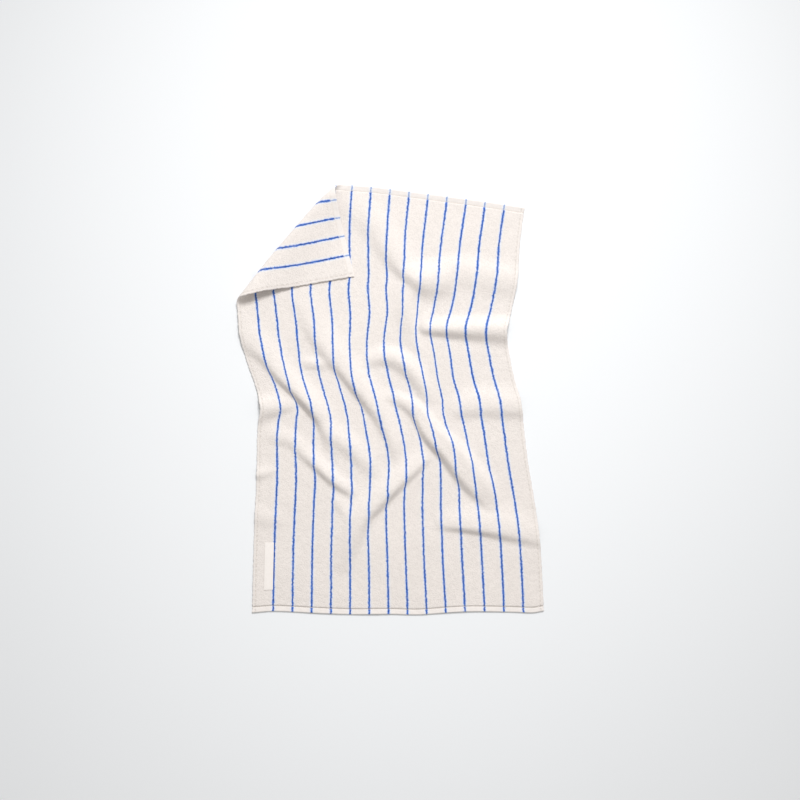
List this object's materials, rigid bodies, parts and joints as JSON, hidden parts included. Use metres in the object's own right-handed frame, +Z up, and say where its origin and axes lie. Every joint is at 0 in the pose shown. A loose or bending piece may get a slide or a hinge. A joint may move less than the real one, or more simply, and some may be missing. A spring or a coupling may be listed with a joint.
{
  "type": "hand towel",
  "caption": "Striped terry hand towel lying flat with low wrinkles, one corner folded over onto the front, woven hems and a small bare label.",
  "frame": {"origin": "middle of the towel's outline, on the surface it lies on", "axes": "+X across the towel to its right side, +Y along it to the top hem, +Z up from the surface"},
  "size_m": [0.527, 0.738, 0.0236],
  "materials": {
    "terry": "matt looped cotton pile, cream with thin blue stripes",
    "woven_label": "matt woven tape, off-white"
  },
  "bodies": {
    "root": {"towel": "terry", "label": "woven_label"}
  },
  "joints": []
}
